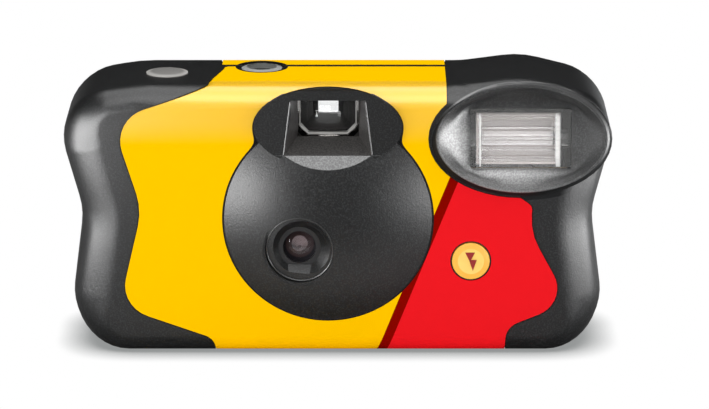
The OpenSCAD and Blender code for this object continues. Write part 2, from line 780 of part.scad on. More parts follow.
// Outline of the finder lens at depth y, taken in by i and with lower corners cut by c
function finder_ring(y, i, c) =
    let (x = tube_w / 2 - i, z0 = tube_z - tube_h / 2 + i, z1 = tube_z + tube_h / 2 - i / 3)
    [[dome_x - x + c, y, z0], [dome_x + x - c, y, z0], [dome_x + x, y, z0 + c],
        [dome_x + x, y, z1], [dome_x - x, y, z1], [dome_x - x, y, z0 + c]];

module viewfinder_lens() {
    color(clear) difference() {
        loft([finder_ring(finder_y + 0.3, 0.7, 1.7), finder_ring(finder_y + 1.1, 0, 1.1),
            finder_ring(finder_y + 4.2, 0, 1.1)]);
        translate([dome_x, finder_y + 1.2 + finder_r, tube_z]) sphere(finder_r);
    }
}

module viewfinder_eyepiece() {
    color(clear) union() {
        block([dome_x - eye_w / 2, eye_y, eye_z - eye_h / 2],
            [dome_x + eye_w / 2, rear_y - 0.5, eye_z + eye_h / 2]);
        block([dome_x - tube_w / 2 - 0.5, eye_y, eye_z - eye_h / 2 - 0.3],
            [dome_x + tube_w / 2 + 0.5, rear_in, eye_z + eye_h / 2 + 0.3]);
    }
}

module counter_window() {
    r = counter_window_d / 2;
    color(clear) translate([count_x, count_y, 0]) union() {
        translate([0, 0, top_in - 0.4]) cylinder(h = 0.4, r = r + 0.6);
        rotate_extrude() intersection() {
            translate([0, body_h + 0.5 - 14]) circle(14);
            translate([0, top_in - 0.2]) square([r, wall + 1]);
        }
    }
}

// Ring of n notches between two radii, as a polygon
function notched(n, r0, r1) = [for (i = [0:n - 1]) for (k = [0:3])
    let (a = 360 / n * (i + [0, 0.12, 0.5, 0.62][k]), r = k == 0 || k == 3 ? r0 : r1)
    [r * cos(a), r * sin(a)]];

module thumbwheel() {
    color("#303034") translate([can_x, can_y, 0]) union() {
        difference() {
            union() {
                translate([0, 0, wheel_z]) linear_extrude(wheel_t)
                    polygon(notched(wheel_teeth, wheel_r - 0.7, wheel_r));
                post(0, 0, can_top + 0.017 * head, wheel_z + 0.5, hub_r);
            }
            post(0, 0, can_top, spool_top + 0.3, spool_r + 0.1);
            difference() {
                post(0, 0, wheel_z + 0.78 * wheel_t, wheel_z + wheel_t + 1, wheel_r - 2.4);
                post(0, 0, wheel_z, wheel_z + wheel_t + 2, 4);
            }
        }
        block([-0.8, -spool_r - 0.2, can_top + 0.14 * head], [0.8, spool_r + 0.2, spool_top + 0.4]);
    }
}

module film_cartridge() {
    color("#d8b21a") difference() {
        union() {
            post(can_x, can_y, can_foot, can_top, can_r);
            block([can_x + 2, film_y - 0.8, can_foot + 2], [can_x + 10.2, film_y + 0.8, can_top - 2]);
        }
        post(can_x, can_y, can_foot + 0.5, can_top - 0.5, can_r - 0.5);
        post(can_x, can_y, can_foot - 1, can_top + 1, spool_r + 0.2);
        block([can_x + 1, film_y - 0.25, film_foot - 0.4], [can_x + 12, film_y + 0.25, film_top + 0.4]);
    }
}

module cartridge_spool() {
    color("#3a3a3a") translate([can_x, can_y, 0]) difference() {
        union() {
            post(0, 0, can_foot + 0.2, spool_top, spool_r);
            post(0, 0, can_foot + 0.9, can_top - 0.9, 7.4);
        }
        block([-1, -5, can_top + 0.12 * head], [1, 5, spool_top + 1]);
    }
}

module film_strip() {
    x0 = can_x + 9.9;
    n = floor((roll_x - x0 - 3) / pitch);
    color("#6b4a34") difference() {
        block([x0, plate_y, film_foot], [roll_x, plate_y + film_t, film_top]);
        for (i = [0:n]) for (z = [film_foot + 2.5, film_top - 2.5])
            block([x0 + 1 + i * pitch, plate_y - 1, z - 1.4], [x0 + 3 + i * pitch, plate_y + 1, z + 1.4]);
    }
}

module supply_roll() {
    color("#5a4030") translate([roll_x, roll_y, 0]) union() {
        post(0, 0, film_foot, film_top, roll_r - film_t);
        post(0, 0, film_foot - 1.5, deck_top - 0.4, 2);
    }
}

module sprocket() {
    tip = sprocket_r - film_t / 2 - 0.15;
    color("#e8e6e0") translate([sprocket_x, sprocket_y, 0]) union() {
        post(0, 0, sprocket_z - 3.1, counter_z + counter_t, shaft_r);
        translate([0, 0, sprocket_z - 0.9]) linear_extrude(1.8)
            polygon(notched(sprocket_teeth, tip - 1.2, tip));
        translate([0.8, 0, deck_top + 0.2]) cylinder(h = 1.6, r = 2.1);
        block([0, -0.4, counter_z + 0.1], [1.7, 0.4, counter_z + counter_t - 0.1]);
    }
}

module counter_wheel() {
    color("#f2f2ee") translate([counter_x, counter_y, counter_z]) difference() {
        linear_extrude(counter_t) polygon(notched(counter_teeth, counter_r - 0.5, counter_r));
        post(0, 0, -1, counter_t + 1, counter_post_r + run_fit);
    }
}

module shutter_button() {
    r = shutter_d / 2;
    color(grey) translate([button_x, button_y, 0]) union() {
        rotate_extrude() intersection() {
            translate([0, body_h + 0.8 - 16]) circle(16);
            translate([0, top_in - 0.6]) square([r, wall + 3]);
        }
        block([-r - 0.9, -1.6, top_in - 1], [r + 0.9, 1.6, top_in - 0.2]);
        post(0, 0, lever_z + lever_t + 0.15, top_in - 0.4, 1.5);
    }
}

// Rocker under the shutter button
module release_lever() {
    z1 = lever_z + lever_t;
    color("#e8e6e0") difference() {
        union() {
            block([button_x - 1.8, lever_y - lever_w / 2, lever_z],
                [lever_x + 3.2, lever_y + lever_w / 2, z1]);
            block([button_x - 1.8, lever_y - lever_w / 2, lever_z], [button_x + 1.8, button_y + 1.8, z1]);
            bar_y(lever_x, lever_z + lever_t / 2, lever_y - lever_w / 2, lever_y + lever_w / 2, hub_top);
            block([lever_x + 2, lever_y - 0.8, striker_z + striker_t + 0.5],
                [lever_x + 3.2, lever_y + 0.8, z1]);
        }
        bar_y(lever_x, lever_z + lever_t / 2, lever_y - 3, lever_y + 3, pin_r + run_fit);
    }
}

// Wire of radius w wound round Z with mean radius r, rising by one rise
module coil(r, w, turns, rise) {
    n = turns * 12;
    loft([for (i = [0:n])
        let (a = i * 360 * turns / n)
        [for (j = [0:5])
            let (q = r + w * cos(60 * j))
            [q * cos(a), q * sin(a), rise * i / n + w * sin(60 * j)]]]);
}

module release_spring() {
    color(metal) translate([lever_x, lever_y - lever_w / 2 - 0.22, lever_z + lever_t / 2])
        rotate([90, 0, 0]) coil(1.25, 0.22, 3, 1.6);
}

module striker_lever() {
    z1 = striker_z + striker_t;
    color("#e8e6e0") difference() {
        union() {
            post(striker_x, striker_y, striker_z, z1, 2.4);
            block([striker_x - 1.1, blade_y - 0.5, striker_z], [striker_x + 0.7, striker_y, z1]);
            block([striker_x - 1.1, blade_y - 0.5, blade_z + 5.4], [striker_x + 0.3, blade_y + 0.15, z1]);
            block([striker_x - 1, striker_y, striker_z], [striker_x + 0.6, striker_y + 3.8, z1]);
            block([striker_x - 6.5, striker_y - 2.2, striker_z], [striker_x, striker_y - 0.6, z1]);
        }
        post(striker_x, striker_y, striker_z - 1, z1 + 1, 1.3 + run_fit);
    }
}

module striker_spring() {
    color(metal) translate([striker_x, striker_y, striker_z + striker_t + 0.22]) coil(1.7, 0.2, 2, 0.8);
}

module shutter_blade() {
    dx = lens_x - blade_x;
    dz = lens_z - blade_z;
    color("#2f3236") translate([0, blade_y + blade_t, 0]) rotate([90, 0, 0]) linear_extrude(blade_t)
        difference() {
            union() {
                translate([lens_x, lens_z]) circle(2.7);
                translate([blade_x, blade_z]) circle(2);
                translate([blade_x, blade_z]) rotate(atan2(dz, dx)) translate([0, -1.8])
                    square([norm([dx, dz]), 3.6]);
                translate([blade_x - 0.3, blade_z]) square([2, 7]);
            }
            translate([blade_x, blade_z]) circle(1 + run_fit);
        }
}

module shutter_spring() {
    x0 = blade_x + 1.7;
    x1 = lens_x + 3;
    color(metal) translate([x0 + 0.4, blade_y - 0.9, blade_z + 3]) rotate([0, 90, 0])
        coil(0.7, 0.18, 6, x1 - x0 - 1.5);
}

module flash_window() {
    color(clear) in_bezel() union() {
        block([-window_w, window_y, -window_h], [window_w, window_y + window_t + 0.3, window_h]);
        block([-window_w - 1, flange_y, -window_h - 0.8], [window_w + 1, trough_y, window_h + 0.8]);
        for (z = [-4.2:2.1:4.2]) bar_x(window_y, z, -window_w + 1.4, window_w - 2.6, 0.5);
    }
}

// Points [y, z] of a parabola that opens towards the front
function trough(y, h, d, n) = [for (i = [0:n])
    let (z = h * (2 * i / n - 1))
    [y + d * (1 - z * z / (h * h)), z]];

// Parabolic trough of half width w, whose ends lean in towards its back
module trough_solid(y, h, d, w) {
    intersection() {
        translate([trough_x - w, 0, 0]) rotate([90, 0, 90])
            linear_extrude(2 * w) polygon(trough(y, h, d, 12));
        funnel([y - 0.1, trough_x, w, w, -2 * h, 2 * h], [y + d, trough_x, w - 1.7, w - 1.7, -2 * h, 2 * h]);
    }
}

module flash_reflector() {
    color("#f4f4f2") in_bezel() difference() {
        trough_solid(trough_y, trough_h, trough_d, trough_w);
        trough_solid(trough_y - 0.05, trough_h - 0.4, trough_d - 0.35, trough_w - 0.4);
        bar_x(tube_y, 0, -12, 12, tube_d / 2 + 0.1);
    }
}

module flash_tube() {
    end = trough_w + 1.8;
    color(clear) in_bezel() translate([trough_x, 0, 0]) union() {
        bar_x(tube_y, 0, 0.2 - end, end - 0.2, tube_d / 2);
        for (x = [-end, end - 1.4]) bar_x(tube_y, 0, x, x + 1.4, tube_d / 2 + 0.3);
    }
}

module flash_board() {
    color("#8a6a2c") difference() {
        block([board_x, board_y, cell_z + cell_r + 1.8], [half_w - 9.6, board_back, deck_z - 1.6]);
        for (x = [board_x + 2, half_w - 11.4]) bar_y(x, deck_z - 4, board_y - 1, board_back + 1, 0.9);
    }
}

module capacitor() {
    z0 = cell_z + cell_r + 2;
    color("#23252c") union() {
        post(cap_x, cap_y, z0, deck_z - 1.2, cap_d / 2);
        for (x = [-2, 2]) bar_y(cap_x + x, z0 + 2, board_back, cap_y, 0.4);
    }
}

module transformer() {
    color("#4a4238") union() {
        for (z = [lens_z + 4.4, lens_z + 12.2])
            block([board_x + 0.3, board_back, z], [board_x + 6.5, board_back + 5.4, z + 1.2]);
        post(board_x + 3.4, board_back + 2.7, lens_z + 4.9, lens_z + 12.8, 2.4);
    }
}

module trigger_coil() {
    color("#7a5a2a") union() {
        bar_x(board_back + 2.4, lens_z - 1.6, board_x + 0.9, board_x + 6.5, 2.1);
        block([board_x + 1.5, board_back, lens_z - 2.6],
            [board_x + 5.9, board_back + 2.4, lens_z - 0.6]);
    }
}

module battery() {
    color("#3f6f4a") union() {
        bar_x(cell_y, cell_z, cell_x, cell_x + cell_l, cell_r - 0.05);
        bar_x(cell_y, cell_z, cell_x + cell_l - 0.5, cell_x + cell_l + 1.5, 2.7);
    }
}

module battery_contact_positive() {
    x = cell_x + cell_l + 1.5;
    color(brass) union() {
        block([x, cell_y - 3.5, cell_z - 3.5], [x + 0.4, cell_y + 3.5, cell_z + 3.5]);
        block([x, cell_y - 1.5, wall], [x + 0.4, cell_y + 1.5, cell_z]);
        block([x, board_back, cell_z + 3], [x + 0.4, board_back + 1.6, cell_z + cell_r + 6]);
    }
}

module battery_contact_negative() {
    color(brass) union() {
        block([cell_x - 0.4, cell_y - 3.5, cell_z - 3.5], [cell_x, cell_y + 3.5, cell_z + 3.5]);
        block([cell_x - 0.4, cell_y - 1.5, wall], [cell_x, cell_y + 1.5, cell_z]);
    }
}

module flash_button() {
    r = flash_button_d / 2;
    color("#ffc20e") translate([flash_button_x, 0, flash_button_z]) rotate([-90, 0, 0]) union() {
        rotate_extrude() difference() {
            intersection() {
                translate([0, front_y - 0.7 + 14]) circle(14);
                translate([0, front_y - 2]) square([r, wall + 2.3]);
            }
            translate([0, front_y - 0.05 - dish_r]) circle(dish_r);
        }
        post(0, 0, front_in + 0.15, front_in + 0.75, r + 0.8);
        post(0, 0, front_in + 0.3, board_y - 1.05, 1.2);
    }
}

module flash_switch() {
    color(brass) union() {
        block([flash_button_x - 1.6, board_y - 1, flash_button_z - 1.2],
            [flash_button_x + 6, board_y - 0.8, flash_button_z + 1.2]);
        block([flash_button_x + 5, board_y - 1, flash_button_z - 1.2],
            [flash_button_x + 6, board_y, flash_button_z + 1.2]);
    }
}

module ready_lamp() {
    color("#e07a2a") union() {
        bar_y(lamp_x, lamp_z, rear_in - 0.6, rear_y + 0.2, lamp_r);
        bar_y(lamp_x, lamp_z, rear_in - 1.2, rear_in, lamp_r + 0.8);
    }
}

front_cover();
rear_cover();
film_door();
front_label();
rear_label();
main_frame();
lens_holder();
taking_lens();
lens_ring();
viewfinder_tube();
viewfinder_lens();
viewfinder_eyepiece();
counter_window();
thumbwheel();
film_cartridge();
cartridge_spool();
film_strip();
supply_roll();
sprocket();
counter_wheel();
shutter_button();
release_lever();
release_spring();
striker_lever();
striker_spring();
shutter_blade();
shutter_spring();
flash_window();
flash_reflector();
flash_tube();
flash_board();
capacitor();
transformer();
trigger_coil();
battery();
battery_contact_positive();
battery_contact_negative();
flash_button();
flash_switch();
ready_lamp();
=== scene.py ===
import bpy
from math import cos, pi, radians, sin, sqrt
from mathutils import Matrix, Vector


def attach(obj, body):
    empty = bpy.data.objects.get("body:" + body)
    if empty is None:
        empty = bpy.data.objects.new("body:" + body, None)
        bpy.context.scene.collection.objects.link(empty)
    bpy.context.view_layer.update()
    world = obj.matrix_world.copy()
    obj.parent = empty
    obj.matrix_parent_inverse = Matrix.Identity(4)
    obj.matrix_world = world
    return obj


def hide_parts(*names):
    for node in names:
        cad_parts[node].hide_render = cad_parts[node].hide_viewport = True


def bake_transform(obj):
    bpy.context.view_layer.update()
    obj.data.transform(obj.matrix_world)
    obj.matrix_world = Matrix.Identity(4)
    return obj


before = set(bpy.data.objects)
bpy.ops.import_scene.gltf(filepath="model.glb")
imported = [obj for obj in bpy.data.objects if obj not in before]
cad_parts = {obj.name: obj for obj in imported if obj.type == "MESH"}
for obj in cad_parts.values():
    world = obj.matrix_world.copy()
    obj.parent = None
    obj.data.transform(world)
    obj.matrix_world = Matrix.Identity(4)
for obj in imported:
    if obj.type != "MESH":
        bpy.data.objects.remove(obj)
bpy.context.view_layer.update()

# Chassis: one black frame, injection moulded, with the light tunnel, the film gate and the film
# chambers. The thumbwheel and the cartridge spool are moulded in the same plastic and turn in it.
MM = 0.001
CHASSIS_BLACK = (0.03, 0.03, 0.033)


class Wire:
    """A socket in a material's tree, so that shader maths reads as arithmetic."""

    def __init__(self, tree, out):
        self.tree = tree
        self.out = out

    def node(self, kind, settings=None, out=0, **inputs):
        """Adds a node: its settings first, then its sockets by name or _number; gives one output."""
        made = self.tree.nodes.new(kind)
        for name, value in (settings or {}).items():
            if name == "stops":
                while len(made.color_ramp.elements) < len(value):
                    made.color_ramp.elements.new(0.5)
                for stop, (place, shade) in zip(made.color_ramp.elements, value):
                    stop.position = place
                    stop.color = (*shade, 1)
            else:
                setattr(made, name, value)
        for name, value in inputs.items():
            key = int(name[1:]) if name[1:].isdigit() else name.replace("_", " ")
            plug(self.tree, made.inputs[key], value)
        return Wire(self.tree, made.outputs[out])

    def math(self, operation, other=0.0, turned=False):
        a, b = (other, self) if turned else (self, other)
        return self.node("ShaderNodeMath", {"operation": operation}, _0=a, _1=b)

    def __add__(self, other):
        return self.math("ADD", other)

    __radd__ = __add__

    def __sub__(self, other):
        return self.math("SUBTRACT", other)

    def __rsub__(self, other):
        return self.math("SUBTRACT", other, True)

    def __mul__(self, other):
        return self.math("MULTIPLY", other)

    __rmul__ = __mul__

    def __truediv__(self, other):
        return self.math("DIVIDE", other)

    def __rtruediv__(self, other):
        return self.math("DIVIDE", other, True)

    def __abs__(self):
        return self.math("ABSOLUTE")

    def most(self, other):
        """The larger of two values, or the union of two masks."""
        return self.math("MAXIMUM", other)

    def above(self, edge, soft):
        """0 below the edge and 1 above it, with a soft step."""
        return self.node("ShaderNodeMapRange", {"interpolation_type": "SMOOTHSTEP"},
                         Value=self, From_Min=edge - soft, From_Max=edge + soft)

    def below(self, edge, soft):
        """1 below the edge and 0 above it, with a soft step."""
        return 1 - self.above(edge, soft)

    def mix(self, low, high):
        """Colour that goes from low to high as this value goes from 0 to 1."""
        return self.node("ShaderNodeMix", {"data_type": "RGBA"}, 2, _0=self, _6=low, _7=high)


def plug(tree, socket, value):
    """Links a wire to a socket, or sets the socket; colours are given without alpha."""
    if isinstance(value, Wire):
        tree.links.new(value.out, socket)
    else:
        socket.default_value = (*value, 1) if socket.type == "RGBA" else value


class Finish:
    """A material with one Principled shader; constants go straight onto its sockets."""

    def __init__(self, name, colour, roughness, **constants):
        self.material = bpy.data.materials.new(name)
        self.material.use_nodes = True
        self.tree = self.material.node_tree
        self.shader = self.tree.nodes["Principled BSDF"]
        self.start = Wire(self.tree, None)
        self.roughness = roughness
        self.set(Base_Color=colour, Roughness=roughness, **constants)

    def set(self, **inputs):
        for name, value in inputs.items():
            plug(self.tree, self.shader.inputs[name.replace("_", " ")], value)

    def place(self):
        """Object coordinates as three wires, in metres."""
        spot = self.start.node("ShaderNodeTexCoord", out="Object")
        split = spot.node("ShaderNodeSeparateXYZ", Vector=spot).out.node.outputs
        return [Wire(self.tree, part) for part in split]

    def grain(self, size, height, wander=0):
        """Fine noise of a size and height in metres; the roughness may wander with it."""
        spot = self.start.node("ShaderNodeTexCoord", out="Object")
        noise = spot.node("ShaderNodeTexNoise", Vector=spot, Scale=1 / size, Detail=2.0)
        self.set(Normal=noise.node("ShaderNodeBump", Height=noise, Strength=1.0, Distance=height))
        if wander:
            self.set(Roughness=self.roughness - wander / 2 + noise * wander)
        return noise

    def cover(self, share, kind, colour):
        """Lays a plain shader of a kind and colour over this one, in the share a mask gives."""
        surface = self.tree.nodes["Material Output"].inputs["Surface"]
        under = Wire(self.tree, surface.links[0].from_socket)
        layer = self.start.node(kind, Color=colour)
        plug(self.tree, surface, under.node("ShaderNodeMixShader", _0=share, _1=under, _2=layer))

    def on(self, *pieces):
        for piece in pieces:
            if not piece.material_slots:
                piece.data.materials.append(self.material)
            for slot in piece.material_slots:
                slot.link = "OBJECT"
                slot.material = self.material

    def dress(self, *nodes):
        """Puts the finish on CAD nodes by name."""
        self.on(*[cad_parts[node] for node in nodes])


chassis = Finish("chassis_plastic", CHASSIS_BLACK, roughness=0.5)
chassis.grain(size=0.35 * MM, height=0.02 * MM)
chassis.dress("main_frame", "thumbwheel", "cartridge_spool")

# Film path: a rolled tin can with a painted sleeve takes up the film, which crosses the gate from
# the roll on the supply side. Film and roll are the same coated base, smooth and slightly glossy.
CAN_PAINT = (0.7, 0.5, 0.05)
FILM_BROWN = (0.12, 0.06, 0.035)

tin = Finish("can_paint", CAN_PAINT, roughness=0.35)
tin.grain(size=0.2 * MM, height=0.006 * MM)
tin.dress("film_cartridge")
film = Finish("film_base", FILM_BROWN, roughness=0.25)
film.grain(size=1.5 * MM, height=0.004 * MM, wander=0.1)
film.dress("film_strip", "supply_roll")

# Shutter works: levers and film sprocket moulded in white acetal, a blade stamped from thin metal,
# and springs bent from steel wire. They sit on posts of the chassis, without screws.
ACETAL_WHITE = (0.8, 0.79, 0.75)
BLADE_BROWN = (0.27, 0.205, 0.185)
STEEL_GREY = (0.55, 0.55, 0.55)

white = Finish("white_acetal", ACETAL_WHITE, roughness=0.4)
white.grain(size=0.3 * MM, height=0.01 * MM)
white.dress("sprocket", "release_lever", "striker_lever")
blade = Finish("blade_metal", BLADE_BROWN, roughness=0.4, Metallic=0.6)
blade.grain(size=0.15 * MM, height=0.003 * MM, wander=0.16)
blade.dress("shutter_blade")
steel = Finish("spring_steel", STEEL_GREY, roughness=0.3, Metallic=1.0)
steel.grain(size=0.12 * MM, height=0.003 * MM, wander=0.12)
steel.dress("release_spring", "striker_spring", "shutter_spring")

# Lens group: black moulded barrel and ring that hold a small acrylic lens deep in the lens port.
# Behind the lens, round the aperture, a brownish disc is painted on the holder: a painted reflection
# that stands for the brownish reflection seen in the lens.
LENS_PLACE = (-8.2 * MM, 24.6 * MM)
LENS_REFLECTION_RADIUS = 2.9 * MM
LENS_REFLECTION_Y = -14.3 * MM
BARREL_BLACK = (0.012, 0.012, 0.013)
LENS_REFLECTION_BROWN = (0.085, 0.055, 0.048)
LENS_TINT = (0.92, 0.9, 0.95)
GRAIN_SIZE = 0.36 * MM


def from_axis(a, b, place):
    """Distance from an axis at a place in the plane of two coordinates."""
    along, across = a - place[0], b - place[1]
    return (along * along + across * across).math("SQRT")


def clear(name, tint, roughness):
    """Moulded acrylic, whose shadows let the light through."""
    glass = Finish(name, tint, roughness, IOR=1.49, Transmission_Weight=1.0)
    shadow = glass.start.node("ShaderNodeLightPath", out="Is Shadow Ray")
    glass.cover(shadow, "ShaderNodeBsdfTransparent", tint)
    return glass


barrel = Finish("black_barrel_plastic", BARREL_BLACK, roughness=0.45)
barrel.grain(GRAIN_SIZE, height=0.008 * MM)
x, y, z = barrel.place()
# Painted reflection: a brownish disc on the holder, behind the lens.
painted_lens_reflection = from_axis(x, z, LENS_PLACE).below(LENS_REFLECTION_RADIUS, soft=0.2 * MM) * y.above(LENS_REFLECTION_Y, soft=0.05 * MM)
barrel.set(Base_Color=painted_lens_reflection.mix(BARREL_BLACK, LENS_REFLECTION_BROWN))
barrel.dress("lens_holder", "lens_ring")
clear("lens_acrylic", LENS_TINT, roughness=0.02).dress("taking_lens")

# Viewfinder: matt black tube with a clear eyepiece behind and a clear lens in front. The lens is
# moulded with bevelled edges, along which a pale painted highlight lies, and its border is darkened
# with painted shade, where the tube shades it.
FINDER_X = -1.96 * MM
FINDER_HALF = 5.9 * MM
FINDER_LOW = 49.5 * MM
FINDER_SOFT = 0.2 * MM
BEVEL_HALF = 6.15 * MM
BEVEL_LOW = 49.0 * MM
BEVEL_CORNER = 1.9 * MM
BEVEL_WIDTH = 0.16 * MM
BEVEL_HIGHLIGHT_SHARE = 0.75
BEVEL_HIGHLIGHT_PALE = (0.6, 0.59, 0.57)
CLEAR_TINT = (0.97, 0.975, 0.975)
FINDER_SHADE = (0.10, 0.095, 0.09)
TUBE_BLACK = (0.034, 0.030, 0.027)

Finish("matt_tube_plastic", TUBE_BLACK, roughness=0.75, Specular_IOR_Level=0.25).dress("viewfinder_tube")
clear("window_acrylic", CLEAR_TINT, roughness=0.02).dress("viewfinder_eyepiece")
finder = clear("finder_acrylic", CLEAR_TINT, roughness=0.02)
x, y, z = finder.place()
aside = abs(x - FINDER_X)
# Painted shade: the lens border, outside the clear window, is tinted dark.
shaded_border = aside.above(FINDER_HALF, FINDER_SOFT).most(z.below(FINDER_LOW, FINDER_SOFT))
finder.set(Base_Color=shaded_border.mix(CLEAR_TINT, FINDER_SHADE))
off_side, off_sill = aside - BEVEL_HALF, BEVEL_LOW - z
off_corner = (off_side + off_sill + BEVEL_CORNER) * sqrt(0.5)
# Painted highlight: a pale matt band along the bevelled outline of the lens.
bevel_highlight = abs(off_side.most(off_sill).most(off_corner)).below(BEVEL_WIDTH, soft=0.1 * MM)
finder.cover(bevel_highlight * BEVEL_HIGHLIGHT_SHARE, "ShaderNodeBsdfDiffuse", BEVEL_HIGHLIGHT_PALE)
finder.dress("viewfinder_lens")

# Frame counter: pale moulded wheel with ticks printed round its dial, under a clear round window.
# A pale, less clear ring round the window is a painted reflection of its bulge, and a dark ring of
# painted shade lies at its edge. The window is held between the two covers, on the parting line.
DIAL_PLACE = (-19.5 * MM, 1.8 * MM)
TICKS = 28
TICK_SHARE = 0.22
TICK_FROM = 4.6 * MM
DIAL_PALE = (0.5, 0.5, 0.48)
DIAL_INK = (0.03, 0.03, 0.03)
WINDOW_PLACE = (-16.7 * MM, 6.8 * MM)
WINDOW_REFLECTION_FROM = 3.3 * MM
WINDOW_EDGE_SHADE_FROM = 4.7 * MM
WINDOW_CLEAR = (0.12, 0.12, 0.117)
WINDOW_REFLECTION_GREY = (0.50, 0.51, 0.49)
WINDOW_EDGE_SHADE = (0.015, 0.015, 0.015)
CLEAR_ALPHA = 0.35
WINDOW_REFLECTION_ALPHA = 0.85

dial = Finish("dial_plastic", DIAL_PALE, roughness=0.4)
x, y, z = dial.place()
angle = (y - DIAL_PLACE[1]).math("ARCTAN2", x - DIAL_PLACE[0])
turn = (angle * (TICKS / (2 * pi))).math("FRACT")
tick = turn.below(TICK_SHARE, soft=0.03) * from_axis(x, y, DIAL_PLACE).above(TICK_FROM, soft=0.05 * MM)
dial.set(Base_Color=tick.mix(DIAL_PALE, DIAL_INK))
dial.dress("counter_wheel")
window = Finish("counter_acrylic", WINDOW_REFLECTION_GREY, roughness=0.1)
x, y, z = window.place()
reach = from_axis(x, y, WINDOW_PLACE)
# Painted reflection: a pale, less clear ring round the window; painted shade: a dark ring at its edge.
painted_reflection_ring = reach.above(WINDOW_REFLECTION_FROM, soft=0.25 * MM)
painted_edge_shade = reach.above(WINDOW_EDGE_SHADE_FROM, soft=0.1 * MM)
window.set(Base_Color=painted_edge_shade.mix(painted_reflection_ring.mix(WINDOW_CLEAR, WINDOW_REFLECTION_GREY), WINDOW_EDGE_SHADE),
           Alpha=painted_reflection_ring * (WINDOW_REFLECTION_ALPHA - CLEAR_ALPHA) + CLEAR_ALPHA)
window.dress("counter_window")

# Flash circuit: laminate board with its soldered parts, a capacitor in a shrunk sleeve, a charging
# transformer and a varnished trigger coil. Sprung brass strips hold the sleeved cell.
BOARD_DARK = (0.28, 0.17, 0.055)
BOARD_PALE = (0.36, 0.23, 0.085)
SLEEVE_BLUE = (0.02, 0.02, 0.04)
CORE_GREY = (0.1, 0.09, 0.08)
COIL_BROWN = (0.3, 0.15, 0.04)
CELL_GREEN = (0.06, 0.2, 0.1)
BRASS = (0.75, 0.55, 0.25)

board = Finish("board_laminate", BOARD_DARK, roughness=0.5)
weave = board.grain(size=0.5 * MM, height=0.01 * MM)
board.set(Base_Color=weave.above(0.5, soft=0.3).mix(BOARD_DARK, BOARD_PALE))
board.dress("flash_board")
Finish("capacitor_sleeve", SLEEVE_BLUE, roughness=0.3).dress("capacitor")
core = Finish("transformer_core", CORE_GREY, roughness=0.55)
core.grain(size=0.3 * MM, height=0.015 * MM)
core.dress("transformer")
winding = Finish("coil_varnish", COIL_BROWN, roughness=0.3)
winding.grain(size=0.2 * MM, height=0.02 * MM)
winding.dress("trigger_coil")
Finish("cell_sleeve", CELL_GREEN, roughness=0.3).dress("battery")
brass = Finish("contact_brass", BRASS, roughness=0.3, Metallic=1.0)
brass.dress("battery_contact_positive", "battery_contact_negative")

# Flash switch: springy brass leaf with a foot soldered to the board. The stem of the flash button
# bends its free end towards the board.
BOARD_Y = -9.9
LEAF_Z = 21.08
LEAF = [((31.5, -0.9, LEAF_Z), (7.6, 0.2, 2.4)), ((34.8, -0.4, LEAF_Z), (1.0, 0.8, 2.4))]
LEAF_CUTS = 9


def select(*pieces):
    """Selects these pieces and nothing else, with the first one active."""
    bpy.ops.object.select_all(action="DESELECT")
    for piece in pieces:
        piece.select_set(True)
    if pieces:
        bpy.context.view_layer.objects.active = pieces[0]


def joined(name, parts):
    """One piece made of several, with its place in its mesh."""
    select(*parts)
    bpy.ops.object.join()
    bpy.ops.object.transform_apply(location=True, rotation=True, scale=True)
    parts[0].name = name
    return parts[0]


slabs = []
for place, size in LEAF:
    select()
    bpy.ops.mesh.primitive_cube_add(
        size=1, scale=Vector(size) * MM, location=(Vector(place) + Vector((0, BOARD_Y, 0))) * MM)
    slabs.append(bpy.context.object)
    bpy.ops.object.mode_set(mode="EDIT")
    bpy.ops.mesh.select_all(action="SELECT")
    bpy.ops.mesh.subdivide(number_cuts=LEAF_CUTS)
    bpy.ops.object.mode_set(mode="OBJECT")
leaf = joined("flash_switch_leaf", slabs)
brass.on(leaf)
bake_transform(leaf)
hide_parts("flash_switch")

# Flash: folded aluminium trough and a glass tube behind the window, which is moulded with ribs. The
# window's border outside the trough is darkened with painted shade, and painted highlights lie along
# its side edges.
TROUGH_PLACE = (39.55 * MM, 47.7 * MM)
TROUGH_HALF = (9.3 * MM, 5.6 * MM)
PANE_HIGHLIGHTS = [(48.1 * MM, 0.5 * MM, 0.2 * MM), (31.2 * MM, 0.2 * MM, 0.15 * MM)]
EDGE_HIGHLIGHT_SHARE = 0.7
EDGE_HIGHLIGHT_PALE = (0.85, 0.85, 0.84)
PANE_SHADE = (0.55, 0.55, 0.545)
FOIL_GREY = (0.40, 0.37, 0.36)
TUBE_TINT = (0.97, 0.97, 0.98)

Finish("reflector_foil", FOIL_GREY, roughness=0.62, Metallic=1.0).dress("flash_reflector")
clear("tube_glass", TUBE_TINT, roughness=0.03).dress("flash_tube")
pane = clear("flash_acrylic", CLEAR_TINT, roughness=0.02)
x, y, z = pane.place()
aside, away = abs(x - TROUGH_PLACE[0]), abs(z - TROUGH_PLACE[1])
# Painted shade: the window's border outside the trough is tinted dark.
shaded_border = aside.above(TROUGH_HALF[0], soft=0.1 * MM).most(away.above(TROUGH_HALF[1], soft=0.1 * MM))
pane.set(Base_Color=shaded_border.mix(CLEAR_TINT, PANE_SHADE))
# Painted highlight: pale matt bands along the two side edges of the window.
right_highlight, left_highlight = [abs(x - place).below(half, soft) for place, half, soft in PANE_HIGHLIGHTS]
inside = away.below(TROUGH_HALF[1] - 0.2 * MM, soft=0.1 * MM)
pane.cover((right_highlight + left_highlight) * inside * EDGE_HIGHLIGHT_SHARE, "ShaderNodeBsdfDiffuse", EDGE_HIGHLIGHT_PALE)
pane.dress("flash_window")

# Ready lamp: short light pipe, moulded in orange acrylic and pushed into a hole in the rear cover.
# It carries the light of the small lamp on the flash board to the back.
LAMP_ORANGE = (0.8, 0.2, 0.02)

